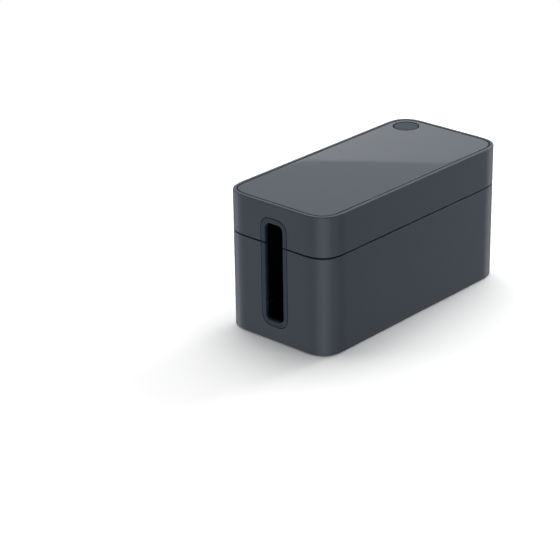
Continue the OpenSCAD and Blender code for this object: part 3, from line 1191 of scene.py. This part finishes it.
@dataclass
class Lid(SubAssembly):
    """The lid: one moulding with walls, rim, web, ribs and the outlet's collar."""

    slot: SlotOutline
    rim_width: float = 0.0032
    rim_edge_radius: float = 0.0008
    rim_inner_radius: float = 0.0003
    web_fillet: float = 0.0015
    web_rib_depth: float = 0.003
    web_rib_thickness: float = 0.0016
    web_rib_step: float = 0.0001
    stop_rib_depth: float = 0.005
    stop_rib_thickness: float = 0.002
    cross_rib_shares: tuple[float, ...] = (-0.5, 0.0, 0.5)
    long_rib_shares: tuple[float, ...] = (-0.32, 0.32)
    side_stop_shares: tuple[float, ...] = (-0.64, -0.22, 0.22, 0.64)
    end_stop_shares: tuple[float, ...] = (-0.5, 0.5)
    outlet_radius: float = 0.0102
    collar_thickness: float = 0.002
    collar_length: float = 0.003
    peg_hole_radius: float = 0.0016
    channel_depth: float = 0.0015
    channel_reach: float = 0.0047
    ring_channel: Span = (0.0110, 0.0126)

    @property
    def channel_floor(self) -> float:
        """Height of the floor of the channels under the gaps."""
        return self.casing.web_top - self.channel_depth

    def wall_outline(self) -> Outline:
        """Draws the lid from the web's upper face, over the rim, down and back under the web.

        Returns:
            The outline, from the outer face inwards.
        """
        casing = self.casing
        bottom, top, soft = casing.seam[1], casing.high.z, casing.soft / 2
        return Outline(
            (self.channel_reach, casing.web_top, soft),
            (self.channel_reach, self.channel_floor),
            (self.rim_width, self.channel_floor, self.rim_inner_radius),
            (self.rim_width, top, self.rim_inner_radius, True),
            (0.0, top, self.rim_edge_radius, True),
            (0.0, bottom, casing.seam_edge_radius, True),
            (casing.wall - casing.lead_in, bottom, soft),
            (casing.wall, bottom + casing.lead_in, soft),
            (casing.wall, casing.web_bottom, self.web_fillet),
        )

    def ribs(self) -> list[Shape]:
        """Makes the ribs under the web and those inside the walls that stand on the tub's tongue.

        The web's ribs along the box are a hair shallower than those across it.

        Returns:
            The web's ribs, then the stop ribs, as one object for each direction.
        """
        casing = self.casing
        buried = casing.web_thickness / 2
        reach = self.stop_rib_depth - casing.wall / 2
        height = casing.web_top - casing.tongue_top - buried
        webs, stops = [], []
        for swap, run, span, web_shares, stop_shares in (
            (False, casing.length, casing.width, self.cross_rib_shares, self.side_stop_shares),
            (True, casing.width, casing.length, self.long_rib_shares, self.end_stop_shares),
        ):
            depth = self.web_rib_depth - swap * self.web_rib_step
            size = crossed(swap, self.web_rib_thickness, span - casing.wall, depth + buried)
            places = [crossed(swap, share * run / 2, 0.0, casing.web_bottom) for share in web_shares]
            webs.append(self.shop.ribs("web_ribs", size, -depth, casing.soft, places))
            size = crossed(swap, self.stop_rib_thickness, reach, height)
            offset = span / 2 - casing.wall / 2 - reach / 2
            places = [
                crossed(swap, share * run / 2, side * offset, casing.tongue_top)
                for share in stop_shares
                for side in SIDES
            ]
            stops.append(self.shop.ribs("stop_ribs", size, 0.0, casing.soft, places))
        return webs + stops

    def outlet(self) -> tuple[Shape, ...]:
        """Makes what shapes the outlet.

        Returns:
            The collar under the web, the ring that sinks the web under the gap round the
            plug's disc, and the turned solid that opens the outlet, with its edges broken.
        """
        casing = self.casing
        top, soft, radius = casing.web_top, casing.soft, self.outlet_radius
        foot = casing.web_bottom - self.collar_length
        outside = radius + self.collar_thickness
        inner, outer = self.ring_channel
        outlines = {
            "collar": Outline((outside, foot, soft), (outside, casing.web_bottom + casing.web_thickness / 2)),
            "disc_channel": Outline(
                (inner, self.channel_floor),
                (outer, self.channel_floor),
                (outer, top + OVERRUN),
                (inner, top + OVERRUN),
                closed=True,
            ),
            "outlet_hole": Outline(
                (radius + soft, foot - OVERRUN),
                (radius + soft, foot),
                (radius, foot + soft),
                (radius, top - soft),
                (radius + soft, top),
                (radius + soft, top + OVERRUN),
            ),
        }
        middle = centre_of("outlet_plug")
        return tuple(self.shop.turned(name, outline, middle) for name, outline in outlines.items())

    def peg_holes(self) -> Shape:
        """Makes the pins that drill the holes for the top plate's pegs.

        Returns:
            One object with all the pins.
        """
        low, high = self.casing.web_bottom - OVERRUN, self.casing.web_top + OVERRUN
        outline = Outline((self.peg_hole_radius, low), (self.peg_hole_radius, high))
        drill = self.shop.turned("peg_drill", outline, steps=32)
        return self.shop.placed("peg_holes", drill, self.casing.peg_places())

    def build(self) -> None:
        """Makes the lid and puts it in its place."""
        lid = self.shop.swept("lid_casing", self.wall_outline(), self.casing.course)
        collar, channel, hole = self.outlet()
        for addition in (*self.ribs(), collar):
            combined(lid, addition, Join.ADD)
        for cut in (self.slot.cutters(self.shop, self.casing), channel, hole, self.peg_holes()):
            combined(lid, cut, Join.TAKE_AWAY)
        self.shop.finish(shaded(lid), "lid_shell", "lid", "shell_plastic")


@dataclass
class TopPlate(SubAssembly):
    """The polished plate let into the lid's rim, held by staked pegs."""

    edge_radius: float = 0.0003
    hole_gap: float = 0.0011
    hole_edge_radius: float = 0.0004
    peg_radius: float = 0.0015
    stake_radius: float = 0.0025
    stake_height: float = 0.0011
    stake_roundings: tuple[float, float, float] = (0.00044, 0.00033, 0.00011)

    def pegs(self) -> Shape:
        """Makes the pegs with their domed, heat-staked heads.

        Returns:
            One object with all the pegs.
        """
        casing = self.casing
        seat = casing.web_bottom
        foot = seat - self.stake_height
        tip, dome, brim = self.stake_roundings
        outline = Outline(
            (self.peg_radius, foot, tip),
            (self.stake_radius, seat - dome, dome),
            (self.stake_radius, seat, brim),
            (self.peg_radius, seat),
            (self.peg_radius, casing.web_top + casing.plate_thickness / 2),
        )
        return self.shop.placed("pegs", self.shop.turned("peg", outline, steps=32), casing.peg_places())

    def disc_hole(self) -> Shape:
        """Makes the turned solid that opens the plate for the plug, its top edge rounded.

        Returns:
            The solid to cut with.
        """
        top = self.casing.web_top + self.casing.plate_thickness
        radius = radius_of("outlet_plug") + self.hole_gap
        soft = self.hole_edge_radius
        rounding = arc((radius + soft, top - soft), soft, math.pi, -math.pi / 2, EDGE_STEPS)
        outline = Outline((radius, self.casing.web_top - OVERRUN), *rounding, (radius + soft, top + OVERRUN))
        return self.shop.turned("disc_hole", outline, centre_of("outlet_plug"), steps=128)

    def build(self) -> None:
        """Makes the plate and puts it in its place."""
        low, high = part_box("top_plate")
        inset = (self.casing.length - (high.x - low.x)) / 2
        foot = (inset, self.casing.web_top, self.edge_radius / 2)
        outline = Outline(foot, (inset, high.z, self.edge_radius, True))
        plate = self.shop.swept("lid_plate", outline, self.casing.course)
        combined(plate, self.pegs(), Join.ADD)
        combined(plate, self.disc_hole(), Join.TAKE_AWAY)
        self.shop.finish(shaded(plate), "top_plate", "lid", "plate_plastic")


@dataclass
class SlotTrims(SubAssembly):
    """The soft trims that line both slots, each split at the seam."""

    slot: SlotOutline
    joint: float = 0.0005
    joint_edge_radius: float = 0.0003
    edge_radius: float = 0.0008
    flange_edge_radius: float = 0.0003
    cut_edge_radius: float = 0.00015
    cut_edge_steps: int = 2

    def outline(self) -> Outline:
        """Draws the trim's section: a flush band and a flange that laps behind the wall.

        Returns:
            The closed outline, from the edge of the cut inwards.
        """
        slot, wall = self.slot, self.casing.wall
        depth = slot.high.x - slot.low.x
        return Outline(
            (self.joint, 0.0, self.joint_edge_radius, True),
            (slot.band, 0.0, self.edge_radius, True),
            (slot.band, depth, self.edge_radius),
            (-slot.lap, depth, self.flange_edge_radius),
            (-slot.lap, wall),
            (self.joint, wall, self.flange_edge_radius / 2),
            closed=True,
        )

    def kept_between(self, ring: Shape, low: float, high: float) -> Shape:
        """Cuts a ring off at two heights and closes the cuts.

        Args:
            ring: The whole ring, stood up.
            low: Lower height.
            high: Upper height.

        Returns:
            The same object.
        """
        with reworked(ring) as work:
            for level, up in ((low, -1.0), (high, 1.0)):
                whole = [*work.verts, *work.edges, *work.faces]
                plane = {"plane_co": (0.0, 0.0, level), "plane_no": (0.0, 0.0, up)}
                bmesh.ops.bisect_plane(work, geom=whole, **plane, clear_outer=True)
                cut = [edge for edge in work.edges if edge.is_boundary]
                if not cut:
                    continue
                made = bmesh.ops.holes_fill(work, edges=cut, sides=0)
                rims = list({edge for face in made["faces"] for edge in face.edges})
                size = {"offset": self.cut_edge_radius, "segments": self.cut_edge_steps}
                bmesh.ops.bevel(work, geom=rims, **size, affect="EDGES", clamp_overlap=True)
        return cleaned(ring)

    def build(self) -> None:
        """Makes the four halves and puts them in their places."""
        slot = self.slot
        tub_top, lid_bottom = self.casing.seam
        reach = {
            Half.LOWER: (slot.low.z - OVERRUN, tub_top),
            Half.UPPER: (lid_bottom, slot.high.z + OVERRUN),
        }
        for end in End:
            for half in Half:
                name = f"trim_{half.value}_{end.value}"
                ring = self.shop.swept(name, self.outline(), slot.course)
                self.kept_between(moved(ring, slot.stood_up(end)), *reach[half])
                self.shop.finish(shaded(ring), f"slot_{name}", half.body, "trim_rubber")


@dataclass
class OutletPlug(SubAssembly):
    """The plug of the lid's outlet: a flat disc on the web and a hollow skirt."""

    edge_radius: float = 0.0005
    foot_radius: float = 0.0002
    skirt_radius: float = 0.01
    skirt_thickness: float = 0.0016

    def build(self) -> None:
        """Makes the plug and puts it in its place."""
        low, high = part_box("outlet_plug")
        seat, lead_in = self.casing.web_top, self.casing.lead_in
        disc, skirt, foot = radius_of("outlet_plug"), self.skirt_radius, self.foot_radius
        inside = skirt - self.skirt_thickness
        outline = Outline(
            (disc, high.z, self.edge_radius, True),
            (disc, seat, foot),
            (skirt, seat, foot),
            (skirt, low.z + lead_in, foot),
            (skirt - lead_in, low.z, foot),
            (inside, low.z, foot),
            (inside, seat, lead_in),
        )
        plug = self.shop.turned("plug_cap", outline, centre_of("outlet_plug"), steps=128)
        self.shop.finish(shaded(plug), "outlet_plug", "plug", "plug_rubber")


@dataclass
class Feet(SubAssembly):
    """The four rubber feet, each with a stem and a head that snaps through the floor."""

    thickness: float = 0.0015
    sole_radius: float = 0.0004
    dish_radius: float = 0.0048
    dish_depth: float = 0.0003
    stem_radius: float = 0.002
    head_radius: float = 0.0032

    def build(self) -> None:
        """Makes the feet and puts them in their places."""
        dish, soft, stem = self.dish_depth, self.dish_depth / 2, self.stem_radius
        for place in Place:
            low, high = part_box(place.node)
            radius = radius_of(place.node)
            outline = Outline(
                (self.dish_radius, low.z + dish, soft),
                (self.dish_radius + dish, low.z, soft),
                (radius, low.z, self.sole_radius, True),
                (radius, self.thickness, soft),
                (stem, self.thickness),
                (stem, self.casing.floor_top),
                (self.head_radius, self.casing.floor_top, soft),
                (stem, high.z, dish),
            )
            foot = self.shop.turned(f"foot_pad_{place.value}", outline, centre_of(place.node), steps=64)
            self.shop.finish(shaded(foot), place.node, "tub", "foot_rubber")


@dataclass(frozen=True)
class Lamp:
    """Soft square lamp, shown by reflections where it is mirrored."""

    name: str
    place: tuple[float, float, float]
    size: float
    power: float
    mirrored: bool = True

    def hang(self) -> None:
        """Hangs the lamp."""
        data = bpy.data.lights.new(self.name, "AREA")
        data.shape = "SQUARE"
        data.size = self.size
        data.energy = self.power
        lamp = linked(self.name, data)
        lamp.location = self.place
        towards = UP * AIM_HEIGHT - Vector(self.place)
        lamp.rotation_euler = towards.to_track_quat("-Z", "Y").to_euler()
        lamp.visible_camera = False
        lamp.visible_glossy = self.mirrored


@dataclass(frozen=True)
class Sky:
    """Surroundings of the studio, all but the lamps, as their strength by direction.

    The first edge is the upper edge of the bright wall behind the box, which the
    plate mirrors as a level line. The wall falls off to the right of the camera,
    and the sky goes dim in front. The ground is what reflections see below the
    horizon: it goes from left to right, and then each row of ground_behind and
    ground_before gives the start, the end and the strength of a change that
    builds up towards the back or the front. Spans are shares of the direction.
    """

    wall: float = 1.17
    wall_fall_share: float = 0.8
    wall_span: Span = (0.02, 0.11)
    wall_edge: float = math.sin(math.radians(20.54))
    wall_softness: float = 0.0006
    mid: float = 0.73
    mid_edge: float = math.sin(math.radians(42))
    mid_softness: float = 0.1
    top: float = 0.6
    front: float = 0.08
    front_span: Span = (-0.35, 0.35)
    ground: Span = (0.76, 0.12)
    ground_span: Span = (-0.7, 0.7)
    ground_behind: tuple[tuple[float, float, float], ...] = ((0.21, 0.42, 2.2), (0.45, 0.75, 0.35))
    ground_before: tuple[tuple[float, float, float], ...] = ((-0.25, 0.08, 1.2), (-0.9, -0.6, 2.7))
    horizon_span: Span = (-0.03, 0.0)


@dataclass
class Studio:
    """Camera, pale floor, surroundings and lamps."""

    yaw: float = math.radians(-47.644)
    pitch: float = math.radians(23.994)
    roll: float = math.radians(-0.88)
    distance: float = 1.776409
    across: float = -0.077324
    upwards: float = -0.037518
    frame_pixels: int = 560
    focal_pixels: float = 1981.819866
    sensor: float = 36.0
    floor_reach: float = 6.0
    floor_albedo: float = 0.8
    floor_lift: float = 1.32
    floor_fade: Span = (0.35, 0.8)
    sky: Sky = Sky()
    lamps: tuple[Lamp, ...] = (
        Lamp("key", (0.3, 0.35, 1.5), 1.2, 10.0),
        Lamp("right", (1.2, -0.1, 0.95), 0.6, 7.0),
        Lamp("rear_left", (-0.95, 0.85, 0.35), 0.5, 2.8, mirrored=False),
        Lamp("fill", (0.3, -1.3, 0.7), 0.6, 2.0),
    )

    @property
    def level(self) -> Vector:
        """Level direction to the camera's right."""
        return Vector((math.cos(self.yaw), math.sin(self.yaw), 0.0))

    @property
    def away(self) -> Vector:
        """Level direction away from the camera."""
        return Vector((-math.sin(self.yaw), math.cos(self.yaw), 0.0))

    def add_camera(self) -> None:
        """Places the camera at the photograph's viewing angle."""
        level = self.level
        back = UP * math.sin(self.pitch) - self.away * math.cos(self.pitch)
        upright = back.cross(level)
        right = level * math.cos(self.roll) + upright * math.sin(self.roll)
        up = upright * math.cos(self.roll) - level * math.sin(self.roll)
        matrix = Matrix((right, up, back)).transposed().to_4x4()
        matrix.translation = (
            UP * AIM_HEIGHT + back * self.distance + right * self.across + up * self.upwards
        )
        data = bpy.data.cameras.new("camera")
        data.sensor_width = self.sensor
        data.lens = self.sensor * self.focal_pixels / self.frame_pixels
        camera = linked("camera", data)
        camera.matrix_world = matrix
        bpy.context.scene.camera = camera

    def floor_material(self) -> bpy.types.Material:
        """Makes the floor's material: pale, with the object's shadow, fading to white far off.

        The camera sees a paler floor than the one that lights the box. Reflections
        see the ground of the surroundings in place of the floor.
        """
        material = bpy.data.materials.new("pale_floor")
        material.use_nodes = True
        nodes = Nodes(material.node_tree)
        nodes.tree.nodes.clear()
        ray = nodes.add("ShaderNodeLightPath")
        plain, lifted = (
            nodes.add("ShaderNodeBsdfDiffuse", {"Color": (level, level, level, 1.0)})["BSDF"]
            for level in (self.floor_albedo, self.floor_lift)
        )
        place = nodes.add("ShaderNodeTexCoord")["Object"]
        distance = nodes.add("ShaderNodeVectorMath", {0: place}, operation="LENGTH")["Value"]
        fade = nodes.mapped(distance, self.floor_fade, 0.0, 1.0, interpolation_type="SMOOTHSTEP")
        white = nodes.add("ShaderNodeEmission")["Emission"]
        shown = nodes.blended(ray["Is Camera Ray"], plain, nodes.blended(fade, lifted, white))
        clear = nodes.add("ShaderNodeBsdfTransparent")["BSDF"]
        surface = nodes.blended(ray["Is Glossy Ray"], shown, clear)
        nodes.add("ShaderNodeOutputMaterial", {"Surface": surface})
        return material

    def add_floor(self) -> None:
        """Lays the floor."""
        reach = self.floor_reach
        corners = [(-reach, -reach, 0), (reach, -reach, 0), (reach, reach, 0), (-reach, reach, 0)]
        floor = laid("floor", corners, faces=[(0, 1, 2, 3)])
        floor.data.materials.append(self.floor_material())

    def add_surroundings(self) -> None:
        """Sets the surroundings: white to the camera, the sky and its ground to the rest."""
        world = bpy.data.worlds.new("studio")
        bpy.context.scene.world = world
        world.use_nodes = True
        nodes = Nodes(world.node_tree)
        nodes.tree.nodes.clear()
        sky = self.sky
        direction = nodes.add("ShaderNodeTexCoord")["Generated"]
        tilted = (UP + self.level * math.tan(self.roll)).normalized()
        sideways, forwards, height, over_line = (
            nodes.add("ShaderNodeVectorMath", {0: direction, 1: axis}, operation="DOT_PRODUCT")["Value"]
            for axis in (self.level, self.away, UP, tilted)
        )
        wall = nodes.mapped(sideways, sky.wall_span, sky.wall, sky.wall * sky.wall_fall_share)
        edge = (sky.wall_edge - sky.wall_softness, sky.wall_edge + sky.wall_softness)
        band = nodes.mapped(over_line, edge, wall, sky.mid)
        edge = (sky.mid_edge - sky.mid_softness, sky.mid_edge + sky.mid_softness)
        behind = nodes.mapped(height, edge, band, sky.top)
        upper = nodes.mapped(forwards, sky.front_span, sky.front, behind)
        lower = nodes.mapped(sideways, sky.ground_span, *sky.ground)
        for start, end, value in sky.ground_behind:
            lower = nodes.mapped(forwards, (start, end), lower, value)
        for start, end, value in sky.ground_before:
            lower = nodes.mapped(forwards, (start, end), value, lower)
        strength = nodes.mapped(height, sky.horizon_span, lower, upper)
        seen, plain = (
            nodes.add("ShaderNodeBackground", {"Color": WHITE, "Strength": level})["Background"]
            for level in (strength, 1.0)
        )
        ray = nodes.add("ShaderNodeLightPath")["Is Camera Ray"]
        nodes.add("ShaderNodeOutputWorld", {"Surface": nodes.blended(ray, seen, plain)})

    def build(self) -> None:
        """Sets up the studio."""
        self.add_camera()
        self.add_floor()
        self.add_surroundings()
        for lamp in self.lamps:
            lamp.hang()
        bpy.context.scene.view_settings.view_transform = "Standard"


def main() -> None:
    """Builds the studio and the box, and reports each piece."""
    logging.basicConfig(level=logging.INFO, format="%(name)s: %(message)s")
    Studio().build()
    shop = Workshop()
    casing = Casing()
    slot = SlotOutline()
    Tub(shop, casing, slot).build()
    Lid(shop, casing, slot).build()
    TopPlate(shop, casing).build()
    SlotTrims(shop, casing, slot).build()
    OutletPlug(shop, casing).build()
    Feet(shop, casing).build()
    LOG.info("%d pieces", len(shop.pieces))


if __name__ == "__main__":
    main()
